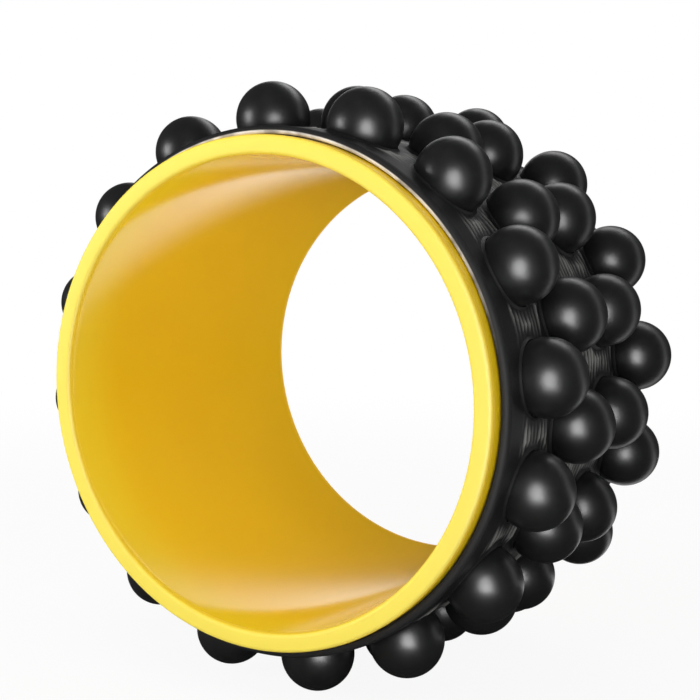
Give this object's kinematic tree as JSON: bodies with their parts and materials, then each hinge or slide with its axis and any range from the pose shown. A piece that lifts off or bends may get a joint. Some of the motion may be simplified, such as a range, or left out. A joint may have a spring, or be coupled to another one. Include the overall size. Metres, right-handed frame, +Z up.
{
  "type": "yoga wheel",
  "caption": "Back-massage yoga wheel: open plastic tube with a rubber sleeve bonded round it, studded with staggered rows of hollow rubber beads.",
  "frame": {"origin": "centre of the wheel, on the tube's axis and half way along it", "axes": "+Y along the tube's axis away from the viewer of the picture, +Z up with the wheel standing on its beads, +X to the right"},
  "size_m": [0.2958, 0.2, 0.2958],
  "materials": {
    "tube_plastic": "glossy moulded plastic, warm yellow",
    "film_adhesive": "soft adhesive layer, hidden",
    "sleeve_rubber": "matt black rubber with a fine ribbed grain",
    "bead_rubber": "smooth satin black rubber"
  },
  "bodies": {
    "root": {"core_tube": "tube_plastic", "bond_film": "film_adhesive", "base_sleeve": "sleeve_rubber", "outer_bead_pair_01": "bead_rubber", "outer_bead_pair_02": "bead_rubber", "outer_bead_pair_03": "bead_rubber", "outer_bead_pair_04": "bead_rubber", "outer_bead_pair_05": "bead_rubber", "outer_bead_pair_06": "bead_rubber", "outer_bead_pair_07": "bead_rubber", "outer_bead_pair_08": "bead_rubber", "outer_bead_pair_09": "bead_rubber", "outer_bead_pair_10": "bead_rubber", "outer_bead_pair_11": "bead_rubber", "outer_bead_pair_12": "bead_rubber", "outer_bead_pair_13": "bead_rubber", "outer_bead_pair_14": "bead_rubber", "outer_bead_pair_15": "bead_rubber", "outer_bead_pair_16": "bead_rubber", "inner_bead_pair_01": "bead_rubber", "inner_bead_pair_02": "bead_rubber", "inner_bead_pair_03": "bead_rubber", "inner_bead_pair_04": "bead_rubber", "inner_bead_pair_05": "bead_rubber", "inner_bead_pair_06": "bead_rubber", "inner_bead_pair_07": "bead_rubber", "inner_bead_pair_08": "bead_rubber", "inner_bead_pair_09": "bead_rubber", "inner_bead_pair_10": "bead_rubber", "inner_bead_pair_11": "bead_rubber", "inner_bead_pair_12": "bead_rubber", "inner_bead_pair_13": "bead_rubber", "inner_bead_pair_14": "bead_rubber", "inner_bead_pair_15": "bead_rubber", "inner_bead_pair_16": "bead_rubber"}
  },
  "joints": []
}
